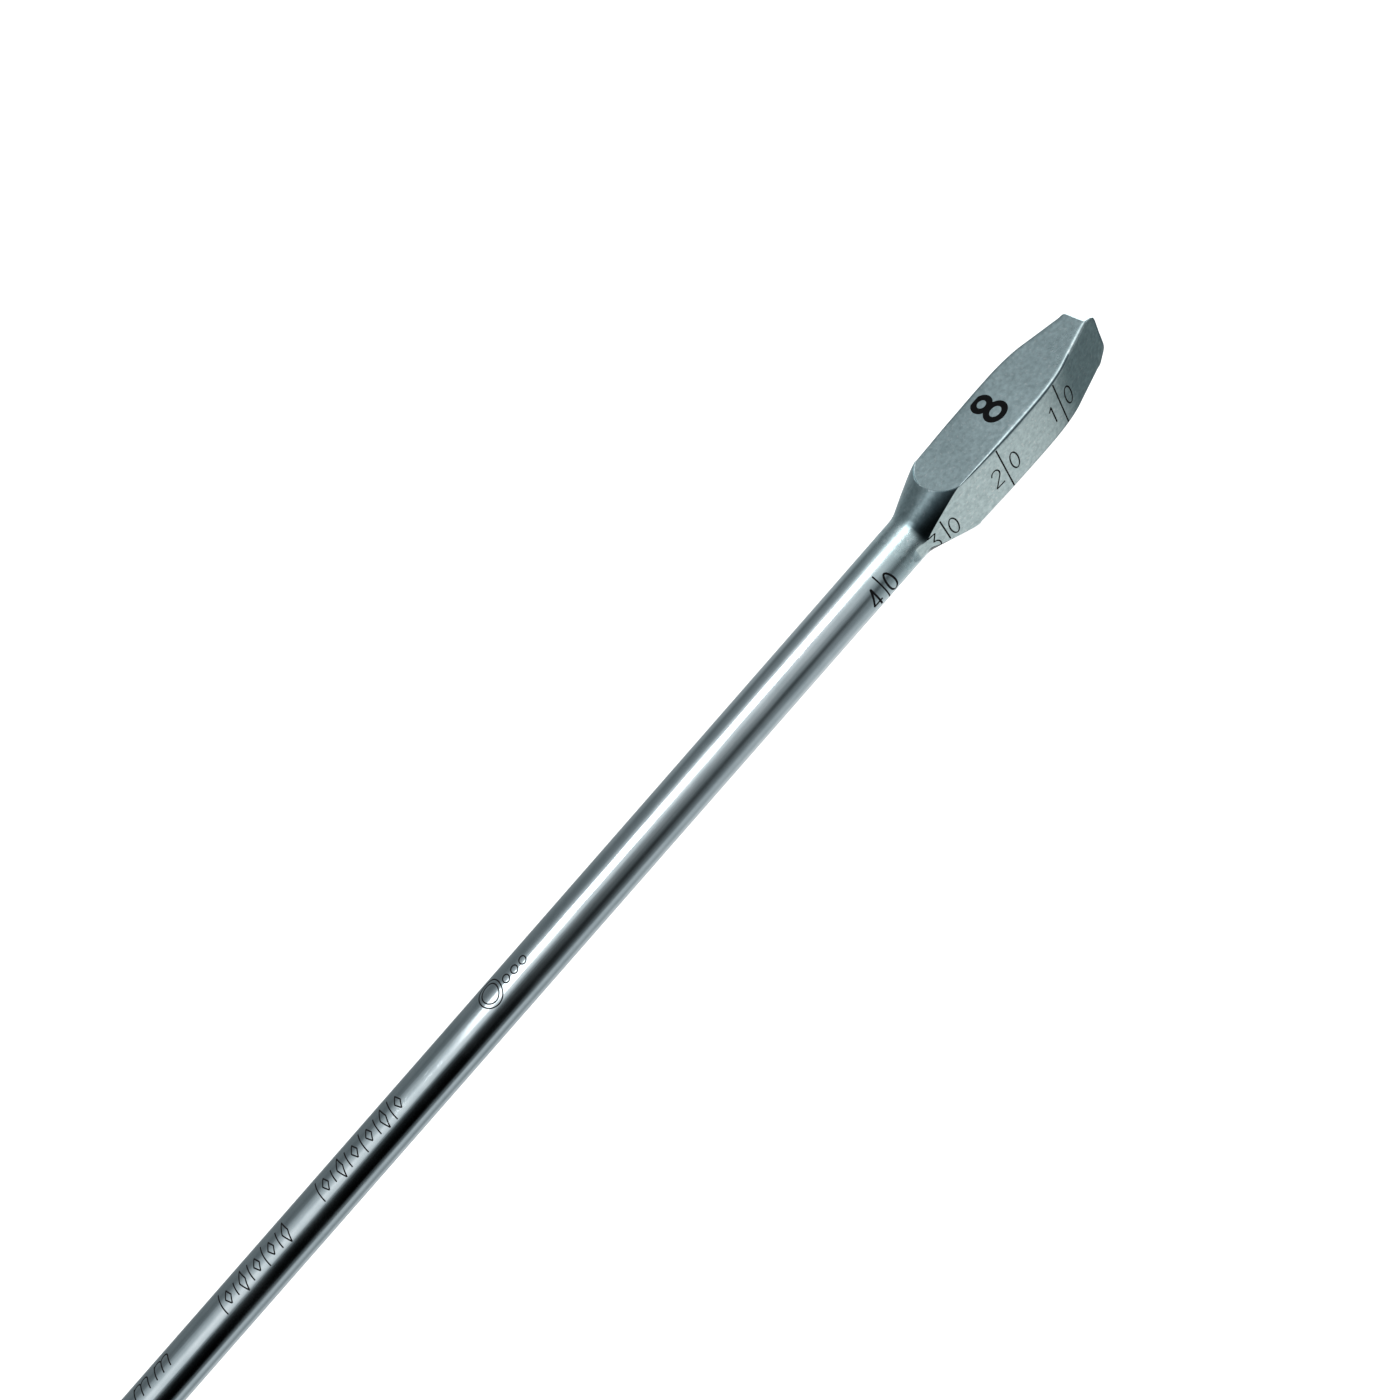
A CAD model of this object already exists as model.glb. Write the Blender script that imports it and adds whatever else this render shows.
"""A paddle distractor, size 8: steel paddle and shaft, locked in a quick-connect T-handle."""
import math

import bmesh
import bpy
import numpy as np
from mathutils import Matrix, Vector
from mathutils.bvhtree import BVHTree


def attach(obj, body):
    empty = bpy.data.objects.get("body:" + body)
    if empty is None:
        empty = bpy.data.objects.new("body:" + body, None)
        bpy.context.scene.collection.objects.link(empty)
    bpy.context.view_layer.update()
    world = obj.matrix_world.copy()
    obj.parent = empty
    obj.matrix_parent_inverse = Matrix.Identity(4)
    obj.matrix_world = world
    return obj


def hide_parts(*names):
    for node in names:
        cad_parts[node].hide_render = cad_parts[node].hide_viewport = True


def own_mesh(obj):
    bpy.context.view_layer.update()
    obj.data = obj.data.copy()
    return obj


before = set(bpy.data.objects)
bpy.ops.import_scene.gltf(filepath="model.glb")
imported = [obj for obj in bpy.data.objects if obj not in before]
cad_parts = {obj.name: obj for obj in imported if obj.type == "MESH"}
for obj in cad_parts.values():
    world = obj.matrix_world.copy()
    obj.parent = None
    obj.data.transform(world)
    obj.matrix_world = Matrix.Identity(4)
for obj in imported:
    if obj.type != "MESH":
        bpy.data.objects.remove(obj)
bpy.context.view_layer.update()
MM = 0.001


# Camera: looks down on the paddle from its scale side, a hand's width away. The rod runs out of its view at
# the lower left, so the handle isn't in it.
CAMERA_PLACE = (60.80, 88.72, 116.40)
CAMERA_RIGHT = (-0.65776, 0.56905, -0.49349)
CAMERA_UP = (-0.75281, -0.51843, 0.40559)


def put(name, data):
    """Adds an object to the scene."""
    item = bpy.data.objects.new(name, data)
    bpy.context.scene.collection.objects.link(item)
    return item


camera_data = bpy.data.cameras.new("camera")
camera_data.sensor_width = 36
camera_data.lens = 31.01
camera_data.clip_start = 0.005
camera = put("camera", camera_data)
camera_right = Vector(CAMERA_RIGHT).normalized()
camera_back = camera_right.cross(Vector(CAMERA_UP)).normalized()
camera_up = camera_back.cross(camera_right)
camera.matrix_world = Matrix.Translation(Vector(CAMERA_PLACE) * MM) @ Matrix(
    (camera_right, camera_up, camera_back)).transposed().to_4x4()
bpy.context.scene.camera = camera
bpy.context.scene.view_settings.view_transform = "Standard"


# Studio: a pale table under the handle, a softbox overhead, and a tent round the tool. The tent is
# bright above, grey behind and almost black in front, which gives round steel its long stripes.
def feed(tree, node, values):
    """Fills the inputs of a node, by name or index, with numbers or with the sockets to link."""
    for key, value in values.items():
        if isinstance(value, bpy.types.NodeSocket):
            tree.links.new(value, node.inputs[key])
        else:
            node.inputs[key].default_value = value


def add_node(tree, kind, values=None, **settings):
    """Adds a node with its settings and the values of its inputs."""
    node = tree.nodes.new(kind)
    for key, value in settings.items():
        setattr(node, key, value)
    feed(tree, node, values or {})
    return node


def maths(tree, operation, *values, **settings):
    """Adds one step of arithmetic and gives its result."""
    step = add_node(tree, "ShaderNodeMath", dict(enumerate(values)), operation=operation, **settings)
    return step.outputs[0]


def rescale(tree, value, low, high, to_low=0.0, to_high=1.0, **settings):
    """Maps a value from one range to another, and gives the result."""
    return add_node(tree, "ShaderNodeMapRange", {
        "Value": value, "From Min": low, "From Max": high, "To Min": to_low, "To Max": to_high},
        **settings).outputs[0]


def tint(tree, share, first, second, blend="MIX"):
    """Mixes two colours and gives the result."""
    return add_node(tree, "ShaderNodeMix", {0: share, 6: first, 7: second}, data_type="RGBA",
                    blend_type=blend).outputs[2]


def noise(tree, place, scale, detail, roughness=0.5):
    """Adds a cloudy noise and gives its value."""
    return add_node(tree, "ShaderNodeTexNoise", {
        "Vector": place, "Scale": scale, "Detail": detail, "Roughness": roughness}).outputs["Fac"]


FLOOR_Z = -14.2
FLOOR_HALF = 3.0
floor_mesh = bpy.data.meshes.new("floor")
floor_corners = [(x * FLOOR_HALF, y * FLOOR_HALF, FLOOR_Z * MM)
                 for x, y in ((-1, -1), (1, -1), (1, 1), (-1, 1))]
floor_mesh.from_pydata(floor_corners, [], [(0, 1, 2, 3)])
floor = put("floor", floor_mesh)
floor_paint = bpy.data.materials.new("pale_table")
floor_paint.use_nodes = True
tree = floor_paint.node_tree
tree.nodes.clear()
paper = add_node(tree, "ShaderNodeBsdfDiffuse", {"Color": (0.6, 0.6, 0.6, 1)})
glow = add_node(tree, "ShaderNodeEmission", {"Color": (1, 1, 1, 1), "Strength": 0.8})
both = add_node(tree, "ShaderNodeAddShader", {0: paper.outputs[0], 1: glow.outputs[0]})
add_node(tree, "ShaderNodeOutputMaterial", {"Surface": both.outputs[0]})
floor_mesh.materials.append(floor_paint)
floor.visible_glossy = False

# Brightness of the tent by direction round the tool, in degrees from +Y towards +Z: first what comes
# from the nose's end, then what comes from the handle's end.
NOSE_SIDE = (
    (-180, 0.5), (-130, 0.7), (-91, 1.0), (-64, 0.74), (-50, 0.62), (-36, 0.36), (-14, 0.34), (4, 0.12),
    (24, 0.5), (41, 0.88), (58, 0.84), (76, 1.1), (94, 1.5), (106, 1.15), (117, 0.45), (134, 0.29),
    (156, 0.15), (180, 0.5))
HANDLE_SIDE = (
    (-180, 0.2), (-130, 0.4), (-91, 0.66), (-64, 0.36), (-38, 0.64), (-24, 0.14), (-10, 0.0), (5, 0.0),
    (28, 0.005), (40, 0.05), (50, 0.28), (58, 0.88), (78, 1.05), (96, 0.62), (113, 0.4), (124, 0.2),
    (140, 0.16), (160, 0.2), (180, 0.2))
TENT_GAIN = 2.0
CHAMFER_WINDOW = (-0.78, -0.57, -0.26)
NOSE_SHADE = (-0.66, 0.2, -0.73)

world = bpy.data.worlds.new("tent")
bpy.context.scene.world = world
world.use_nodes = True
tree = world.node_tree
tree.nodes.clear()
way = add_node(tree, "ShaderNodeTexCoord").outputs["Generated"]
parts = add_node(tree, "ShaderNodeSeparateXYZ", {0: way})
turn = maths(tree, "ARCTAN2", parts.outputs["Z"], parts.outputs["Y"])
share = rescale(tree, turn, -math.pi, math.pi)


def tent_ramp(stops):
    """The tent's brightness round the tool, a little cooler where it is dark."""
    ramp = add_node(tree, "ShaderNodeValToRGB", {"Fac": share})
    ramp.color_ramp.interpolation = "EASE"
    elements = ramp.color_ramp.elements
    while len(elements) < len(stops):
        elements.new(0.5)
    for element, (degrees, light) in zip(elements, stops):
        element.position = (degrees + 180) / 360
    for element, (degrees, light) in zip(elements, stops):
        level = light / TENT_GAIN
        cool = 0.10 * max(0.0, 1 - light)
        element.color = (level * (1 - cool), level * (1 + 0.3 * cool), level * (1 + 0.8 * cool), 1)
    return ramp.outputs["Color"]


def lobe(direction, inner, outer):
    """1 within the inner angle of a direction, fading to 0 at the outer one."""
    near = add_node(tree, "ShaderNodeVectorMath", {0: way, 1: Vector(direction).normalized()},
                    operation="DOT_PRODUCT")
    low, high = math.cos(math.radians(outer)), math.cos(math.radians(inner))
    return rescale(tree, near.outputs["Value"], low, high, interpolation_type="SMOOTHSTEP")


along = rescale(tree, parts.outputs["X"], -0.25, 0.32)
tent = tint(tree, along, tent_ramp(NOSE_SIDE), tent_ramp(HANDLE_SIDE))
shaded = tint(tree, lobe(NOSE_SHADE, 14, 31), tent, (0.045, 0.06, 0.065, 1))
windowed = tint(tree, lobe(CHAMFER_WINDOW, 14, 30), shaded, (1.5, 1.5, 1.5, 1))
reflected = add_node(tree, "ShaderNodeBackground", {"Color": windowed, "Strength": TENT_GAIN})
seen = add_node(tree, "ShaderNodeBackground", {"Color": (1, 1, 1, 1), "Strength": 1.0})
path = add_node(tree, "ShaderNodeLightPath")
either = add_node(tree, "ShaderNodeMixShader", {
    0: path.outputs["Is Camera Ray"], 1: reflected.outputs[0], 2: seen.outputs[0]})
add_node(tree, "ShaderNodeOutputWorld", {"Surface": either.outputs[0]})

softbox_data = bpy.data.lights.new("softbox", "AREA")
softbox_data.shape = "RECTANGLE"
softbox_data.size = 0.34
softbox_data.size_y = 0.26
softbox_data.energy = 0.82
softbox = put("softbox", softbox_data)
softbox.location = (0.11, 0.04, 0.5)
softbox.rotation_euler = (math.radians(-4), 0, 0)


# Paddle head: one stainless bar, turned with its neck, then milled on its two flanks and two size faces. The
# size faces are fine-blasted, and every milled edge is eased so that it can turn in a gap without cutting.
HEAD_HALF = 4.0
NOSE_HALF_WIDTH = 1.2
TAPER_END = (6.9, 3.28)
SHOULDER_CONTROL = (9.0, 4.0)
FLANK_START = (12.5, 4.1)
FLANK_CONTROLS = ((19.5, 4.26), (28.5, 3.75))
FLANK_END = (33.2, 2.88)
RUN_OUT_CONTROL = (34.2, 2.7)
RUN_OUT_END = (35.6, 3.1)
NOSE_FACE_HALF = 2.3
NOSE_CORNER = 2.9
NOSE_CHAMFER = 1.7
CORNER_RUN = 0.6
BAR_RADIUS = 5.8
NECK_START = 23.5
NECK_SHOULDER = (25.6, 5.77)
NECK_CONE_START = (27.2, 5.14)
NECK_CONE_END = (32.0, 3.25)
NECK_FILLET_CONTROL = (32.64, 3.0)
NECK_FILLET_END = (33.6, 3.0)
FACE_CUTTER_RADIUS = 4.1
FACE_CUTTER_X = 24.1
NECK_AREA_END = 33.3
NECK_AREA_FADE = 0.8
HEAD_END = 36.5
SHAFT_RADIUS = 3.0
SPIGOT_RADIUS = 1.75
SPIGOT_END = 44.0
STEP_RUN = 0.10
BEND_START = 18.0
BEND_END = 31.0
LEAST_TURN = 13
ROUND_SPREAD = 1.6


def curve_points(controls, count=60):
    """Points along a Bezier curve with any number of control points."""
    t = np.linspace(0, 1, count)[:, None, None]
    level = np.repeat(np.array(controls, float)[None], count, 0)
    while level.shape[1] > 1:
        level = level[:, :-1] * (1 - t) + level[:, 1:] * t
    return level[:, 0]


def outline_reader(pieces):
    """Joins curve pieces into one outline and returns its height at any x."""
    joined = np.vstack(pieces)
    return lambda x: np.interp(x, joined[:, 0], joined[:, 1])


slope = (HEAD_HALF - NOSE_CORNER) / NOSE_CHAMFER
half_width = outline_reader([
    np.array([(0, NOSE_HALF_WIDTH), TAPER_END]),
    curve_points([TAPER_END, SHOULDER_CONTROL, FLANK_START]),
    curve_points([FLANK_START, *FLANK_CONTROLS, FLANK_END]),
    curve_points([FLANK_END, RUN_OUT_CONTROL, RUN_OUT_END])])
half_height = outline_reader([
    curve_points([(0, NOSE_FACE_HALF), (0, NOSE_CORNER), (CORNER_RUN, NOSE_CORNER + CORNER_RUN * slope)]),
    np.array([(NOSE_CHAMFER, HEAD_HALF), (HEAD_END, HEAD_HALF)])])
turned_radius = outline_reader([
    np.array([(0, BAR_RADIUS), (NECK_START, BAR_RADIUS)]),
    curve_points([(NECK_START, BAR_RADIUS), NECK_SHOULDER, NECK_CONE_START]),
    curve_points([NECK_CONE_END, NECK_FILLET_CONTROL, NECK_FILLET_END]),
    np.array([(HEAD_END, SHAFT_RADIUS)])])


def face_end(y):
    """Where the round cutter stops, at a distance y from the middle of the size face."""
    return FACE_CUTTER_X + np.sqrt(np.maximum(FACE_CUTTER_RADIUS ** 2 - y ** 2, 0))


def quarter_section(station, lift, samples=400):
    """One quarter of the head's outline, from the middle of the size face to the middle of the flank.

    The station is x on the straight part of the head. Towards the neck it bends to follow the round end of
    the size face. Lift goes from 0 on that face to 1 on the turned neck beyond it.
    """
    last = face_end(0.0)
    bend = np.clip((station - BEND_START) / (last - BEND_START), 0, 1) if lift == 0 else 1.0
    past = np.clip((station - last) / (BEND_END - last), 0, 1) if lift == 1 else 0.0
    straight = min(station, BEND_START)

    def follow(end):
        x = straight + (end - straight) * bend
        return x + (BEND_END - x) * past if past < 1 else np.maximum(station, BEND_END) + 0 * end

    width = half_width(station)
    for _ in range(12):
        edge_x = follow(face_end(width))
        width = half_width(edge_x)
    across = np.linspace(0, 1, samples)
    radius = turned_radius(edge_x)
    edge_z = np.sqrt(max(radius ** 2 - width ** 2, 0))
    if lift == 0:
        edge_z = min(half_height(edge_x), edge_z)
    elif lift < 1:
        edge_z = HEAD_HALF + (edge_z - HEAD_HALF) * lift
    edge_z = max(edge_z, radius * math.sin(math.radians(LEAST_TURN)))
    edge_y = min(width, math.sqrt(max(radius ** 2 - edge_z ** 2, 0)))
    round_y = radius * np.sin(across * math.asin(min(edge_y / radius, 1)))
    mix = np.clip(past * ROUND_SPREAD, 0, 1)
    y = edge_y * across * (1 - mix) + round_y * mix
    x = follow(face_end(y)) + lift * STEP_RUN * (1 - past)
    cone = np.sqrt(np.maximum(turned_radius(x) ** 2 - y ** 2, 0))
    flat = np.minimum(half_height(x), cone)
    top = np.stack([x, y, flat + (cone - flat) * lift], 1)
    flank_z = edge_z * (1 - across)
    flank_y = np.minimum(half_width(edge_x), np.sqrt(np.maximum(radius ** 2 - flank_z ** 2, 0)))
    flank = np.stack([np.full(samples, top[-1, 0]), flank_y, flank_z], 1)
    flank[0] = top[-1]
    return top, flank


def eased_section(top, flank, ease, columns):
    """Rounds the edge between a size face and a flank, and samples the quarter at its columns."""
    line = np.vstack([top, flank[1:]])
    length = np.concatenate([[0], np.cumsum(np.linalg.norm(np.diff(line, axis=0), axis=1))])
    corner = length[len(top) - 1]
    step = 0.02
    spots = np.arange(0, length[-1] + step, step)
    even = np.stack([np.interp(spots, length, line[:, i]) for i in range(3)], 1)
    reach = max(1, int(4 * ease / step))
    weights = np.exp(-0.5 * (np.arange(-reach, reach + 1) * step / ease) ** 2)
    weights /= weights.sum()
    before = even[1:reach + 1][::-1] * (1, -1, 1)
    after = even[-reach - 1:-1][::-1] * (1, 1, -1)
    padded = np.vstack([before, even, after])
    eased = np.stack([np.convolve(padded[:, i], weights, "valid") for i in range(3)], 1)
    places = np.where(columns < 0, corner * (1 + columns), corner + (length[-1] - corner) * columns)
    return np.stack([np.interp(places, spots, eased[:, i]) for i in range(3)], 1)


def edge_columns(count, length):
    """Shares of a side of this length, from its middle to its corner, close together near the corner."""
    near = np.array([0.0, 0.06, 0.12, 0.19, 0.27, 0.36, 0.47, 0.6, 0.78]) / length
    far = np.linspace(1.0 / length, 1, count)
    return np.concatenate([near, far])


top_columns = -edge_columns(18, 4.0)[::-1]
flank_columns = edge_columns(13, 4.0)[1:]
columns = np.concatenate([top_columns, flank_columns])

rows = []
for station in np.concatenate([np.linspace(0, 0.5, 9), np.linspace(0.6, 1.35, 8),
                               np.linspace(1.43, 2.1, 13)]):
    rows.append((station, 0.0, 0.07 + 0.08 * station))
for station in np.linspace(2.3, 17.9, 59):
    rows.append((station, 0.0, 0.3))
for station in np.concatenate([np.linspace(18.15, 27.6, 40), np.linspace(27.7, 28.2, 9)]):
    rows.append((station, 0.0, 0.3 - 0.2 * max(0, station - 25) / 3.2))
for lift in np.linspace(0.08, 1, 11):
    rows.append((face_end(0.0), lift, 0.10 - 0.04 * lift))
for station in np.concatenate([np.linspace(28.24, 28.7, 8), np.linspace(28.8, 36.4, 64)]):
    rows.append((station, 1.0, 0.06))
sections = [eased_section(*quarter_section(station, lift), ease, columns) for station, lift, ease in rows]
grid = np.array(sections)

# The edges that run round the head are eased along its length.
ROW_EASE = ((0.0, 0.06), (0.8, 0.07), (1.4, 0.09), (2.4, 0.09), (3.2, 0.02), (40, 0.02))
cap_steps = np.array([0.12, 0.25, 0.4, 0.55, 0.7, 0.82, 0.92])
cap_rows = np.array([grid[0] * (1, s, s) for s in cap_steps])
grid = np.vstack([cap_rows, grid])
first_cone_row = len(cap_rows) + sum(1 for row in rows if row[1] == 0)
last_step_row = first_cone_row + sum(1 for row in rows if 0 < row[1] <= 1 and row[0] <= face_end(0.0))
eased_grid = grid.copy()
for column in range(grid.shape[1]):
    line = grid[:, column]
    length = np.concatenate([[0], np.cumsum(np.linalg.norm(np.diff(line, axis=0), axis=1))])
    spread = np.interp(line[:, 0], *zip(*ROW_EASE))
    middle = (length[first_cone_row - 1] + length[last_step_row]) / 2
    spread = np.maximum(spread, 0.09 * np.exp(-((length - middle) / 0.5) ** 4))
    gaps = np.gradient(length)
    kernel = np.exp(-0.5 * ((length[None] - length[:, None]) / spread[:, None]) ** 2) * gaps[None]
    kernel /= kernel.sum(1, keepdims=True)
    eased_grid[:, column] = kernel @ line
eased_grid[:, 0, 1] = 0
eased_grid[:, -1, 2] = 0

quarter = eased_grid
ring = np.concatenate([
    quarter, (quarter * (1, 1, -1))[:, -2::-1], (quarter * (1, -1, -1))[:, 1:],
    (quarter * (1, -1, 1))[:, -2:0:-1]], 1)
spokes = ring.shape[1]
angles = np.arctan2(ring[-1, :, 2], ring[-1, :, 1])
for x, radius in ((HEAD_END, SHAFT_RADIUS), (HEAD_END, SPIGOT_RADIUS), (SPIGOT_END, SPIGOT_RADIUS)):
    hoop = np.stack([np.full(spokes, x), radius * np.cos(angles), radius * np.sin(angles)], 1)
    ring = np.concatenate([ring, hoop[None]])
on_neck = np.clip((NECK_AREA_END - quarter[:, :, 0]) / NECK_AREA_FADE, 0, 1)
on_neck[:first_cone_row] = 0
on_neck[:, len(top_columns):] = 0
on_neck = np.concatenate([on_neck, on_neck[:, -2::-1], on_neck[:, 1:], on_neck[:, -2:0:-1]], 1)


def make_piece(name, points, faces, material, crease=32):
    """Makes a closed piece from points in millimetres. Edges sharper than the crease angle stay crisp."""
    mesh = bpy.data.meshes.new(name)
    mesh.from_pydata([(x * MM, y * MM, z * MM) for x, y, z in points], [], faces)
    shell = bmesh.new()
    shell.from_mesh(mesh)
    bmesh.ops.recalc_face_normals(shell, faces=shell.faces)
    shell.to_mesh(mesh)
    shell.free()
    mesh.shade_smooth()
    mesh.set_sharp_from_angle(angle=math.radians(crease))
    mesh.materials.append(material)
    return put(name, mesh)


def hoops_to_shell(hoops):
    """Points and faces of a closed skin over a stack of hoops, with a pole at each end."""
    count = hoops.shape[1]
    points = [tuple(p) for p in hoops.reshape(-1, 3)]
    faces = []
    for row in range(len(hoops) - 1):
        for spoke in range(count):
            after = (spoke + 1) % count
            a, b = row * count + spoke, row * count + after
            faces.append((a, b, b + count, a + count))
    for row in (0, len(hoops) - 1):
        pole = len(points)
        points.append(tuple(hoops[row].mean(0)))
        faces += [(row * count + spoke, row * count + (spoke + 1) % count, pole) for spoke in range(count)]
    return points, faces


def new_group(name, inputs, outputs):
    """A shader node group with named float or vector inputs and outputs."""
    group = bpy.data.node_groups.new(name, "ShaderNodeTree")
    for title, kind, value in inputs:
        socket = group.interface.new_socket(title, in_out="INPUT", socket_type=kind)
        if value is not None:
            socket.default_value = value
    for title, kind in outputs:
        group.interface.new_socket(title, in_out="OUTPUT", socket_type=kind)
    return group, add_node(group, "NodeGroupInput").outputs, add_node(group, "NodeGroupOutput").inputs


# Grain of worked steel: fine marks of the tool or the blasting, larger cloudy patches, and bright specks.
grain, given, gives = new_group("steel_grain", [
    ("Place", "NodeSocketVector", None), ("Marks Per mm", "NodeSocketVector", (8, 8, 8)),
    ("Clouds Per mm", "NodeSocketFloat", 0.5), ("Speck Size", "NodeSocketFloat", 3.0)],
    [("Marks", "NodeSocketFloat"), ("Clouds", "NodeSocketFloat"), ("Specks", "NodeSocketFloat")])
in_mm = add_node(grain, "ShaderNodeVectorMath", {0: given["Place"], 1: (1000, 1000, 1000)},
                 operation="MULTIPLY")
scaled = add_node(grain, "ShaderNodeVectorMath", {0: in_mm.outputs[0], 1: given["Marks Per mm"]},
                  operation="MULTIPLY")
specks = noise(grain, in_mm.outputs[0], given["Speck Size"], 1.0, 0.4)
grain.links.new(noise(grain, scaled.outputs[0], 1.0, 3.0, 0.6), gives["Marks"])
grain.links.new(noise(grain, in_mm.outputs[0], given["Clouds Per mm"], 4.0, 0.55), gives["Clouds"])
grain.links.new(rescale(grain, specks, 0.62, 0.74), gives["Specks"])

# Handling: hairline scratches that run in two directions, and dull patches where hands and trays rub.
wear, given, gives = new_group("handling_wear", [
    ("Place", "NodeSocketVector", None), ("Scratch Share", "NodeSocketFloat", 0.1),
    ("Patch Per mm", "NodeSocketFloat", 0.12)],
    [("Scratches", "NodeSocketFloat"), ("Rubbed", "NodeSocketFloat")])
in_mm = add_node(wear, "ShaderNodeVectorMath", {0: given["Place"], 1: (1000, 1000, 1000)},
                 operation="MULTIPLY")
lines = []
for tilt, stretch in ((0.35, (0.25, 9.0, 9.0)), (-1.1, (0.35, 7.0, 7.0))):
    turned_place = add_node(wear, "ShaderNodeMapping", {
        "Vector": in_mm.outputs[0], "Rotation": (0.4 * tilt, tilt, 0.7 * tilt), "Scale": stretch})
    thread = noise(wear, turned_place.outputs[0], 1.0, 0.0)
    away = maths(wear, "ABSOLUTE", maths(wear, "SUBTRACT", thread, 0.5))
    lines.append(rescale(wear, away, 0.0, 0.012, 1.0, 0.0))
patch = noise(wear, in_mm.outputs[0], given["Patch Per mm"], 3.0)
chosen = noise(wear, in_mm.outputs[0], 0.45, 2.0)
where = maths(wear, "GREATER_THAN", chosen, maths(wear, "SUBTRACT", 0.72, given["Scratch Share"]))
kept = maths(wear, "MULTIPLY", maths(wear, "MAXIMUM", *lines), where)
wear.links.new(kept, gives["Scratches"])
wear.links.new(rescale(wear, patch, 0.4, 0.66), gives["Rubbed"])


def new_material(name, values):
    """A material with these surface values, its tree, its surface and the place on the piece."""
    material = bpy.data.materials.new(name)
    material.use_nodes = True
    tree = material.node_tree
    surface = tree.nodes["Principled BSDF"]
    feed(tree, surface, values)
    return material, tree, surface, add_node(tree, "ShaderNodeTexCoord").outputs["Object"]


def steel(name, light, dark, smooth, rough, marks_per_mm, depth, clouds=0.5, speck=3.0, speck_gain=0.1,
          scratches=0.1, scratch_depth=0.35):
    """A worked steel: its light and dark patches, roughness range and grain, whose depth is in microns."""
    material, tree, surface, place = new_material(name, {"Metallic": 1.0})
    texture = add_node(tree, "ShaderNodeGroup", {
        "Place": place, "Marks Per mm": marks_per_mm, "Clouds Per mm": clouds, "Speck Size": speck},
        node_tree=grain).outputs
    handled = add_node(tree, "ShaderNodeGroup", {"Place": place, "Scratch Share": scratches},
                       node_tree=wear).outputs
    colour = tint(tree, rescale(tree, texture["Clouds"], 0.3, 0.7), (*dark, 1), (*light, 1))
    lit = maths(tree, "MULTIPLY", texture["Specks"], speck_gain)
    lit = maths(tree, "MAXIMUM", lit, handled["Scratches"])
    lit = maths(tree, "MULTIPLY", lit, speck_gain, use_clamp=True)
    cut = maths(tree, "MULTIPLY", handled["Scratches"], -scratch_depth)
    relief = add_node(tree, "ShaderNodeBump", {
        "Strength": 1.0, "Distance": depth * 1e-6, "Height": maths(tree, "ADD", cut, texture["Marks"])})
    dull = maths(tree, "ADD", texture["Marks"], handled["Rubbed"])
    feed(tree, surface, {
        "Base Color": tint(tree, lit, colour, (0.9, 0.93, 0.94, 1)),
        "Roughness": rescale(tree, dull, 0.3, 1.6, smooth, rough), "Normal": relief.outputs[0]})
    return material


blasted_steel = steel("blasted_steel", (0.59, 0.735, 0.765), (0.40, 0.515, 0.54), 0.24, 0.36, (5, 6, 6), 9,
                      clouds=1.7, speck=3.2, speck_gain=0.6, scratches=0.05)
head_points, head_faces = hoops_to_shell(ring)
head = make_piece("paddle_head", head_points, head_faces, blasted_steel, crease=40)


def worked_area(material, attribute, shade, rough):
    """Gives the area that an attribute marks its own tint and its own polish."""
    tree = material.node_tree
    surface = tree.nodes["Principled BSDF"]
    area = add_node(tree, "ShaderNodeAttribute", attribute_name=attribute).outputs["Fac"]
    plain = surface.inputs["Base Color"].links[0].from_socket
    dull = surface.inputs["Roughness"].links[0].from_socket
    polish = add_node(tree, "ShaderNodeMix", {0: area, 2: dull, 3: rough})
    feed(tree, surface, {"Base Color": tint(tree, area, plain, (*shade, 1), "MULTIPLY"),
                         "Roughness": polish.outputs[0]})


def spots_of(piece):
    """The points of a piece, in millimetres."""
    return np.array([v.co for v in piece.data.vertices]) / MM


def mark_area(piece, attribute, share):
    """Stores how much of an area each point of a piece belongs to."""
    layer = piece.data.attributes.new(attribute, "FLOAT", "POINT")
    layer.data.foreach_set("value", np.clip(share, 0, 1))


FLANK_TINT = (1.44, 1.34, 1.27)
FLANK_POLISH = 0.3
EDGE_TINT = (1.1, 1.06, 1.05)
EDGE_POLISH = 0.11
EDGE_ROOT_TINT = (0.3, 0.34, 0.37)
NECK_TINT = (0.82, 0.85, 0.86)
NECK_POLISH = 0.3
NECK_ROOT_TINT = (0.1, 0.115, 0.125)
NECK_ROOT_TURN = (54, 106)
facing = np.array([v.normal for v in head.data.vertices])
spots = spots_of(head)
milled = (spots[:, 0] < FLANK_END[0] + 1) & (spots[:, 0] > 0.3)
mark_area(head, "flank", (np.abs(facing[:, 1]) - 0.9) / 0.07 * milled)
neck_share = np.pad(on_neck.ravel(), (0, len(spots) - on_neck.size))
off_flat = 1 - np.maximum(np.hypot(facing[:, 0], facing[:, 2]), np.hypot(facing[:, 0], facing[:, 1]))
at_edge = milled * (np.abs(spots[:, 2]) > 2.9) * (neck_share == 0)
mark_area(head, "eased_edge", (off_flat - 0.012) / 0.08 * at_edge)
off_face = (np.abs(facing[:, 2]) < 0.86) * (spots[:, 0] > 6)
mark_area(head, "edge_root", (off_flat - 0.003) / 0.03 * at_edge * off_face)
mark_area(head, "turned_neck", neck_share)
round_turn = np.degrees(np.arctan2(np.abs(spots[:, 2]), spots[:, 1]))
off_root = np.clip((round_turn - NECK_ROOT_TURN[0]) / (NECK_ROOT_TURN[1] - NECK_ROOT_TURN[0]), 0, 1)
mark_area(head, "neck_root", neck_share * (1 - off_root ** 2 * (3 - 2 * off_root)))
worked_area(blasted_steel, "turned_neck", NECK_TINT, NECK_POLISH)
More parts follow.
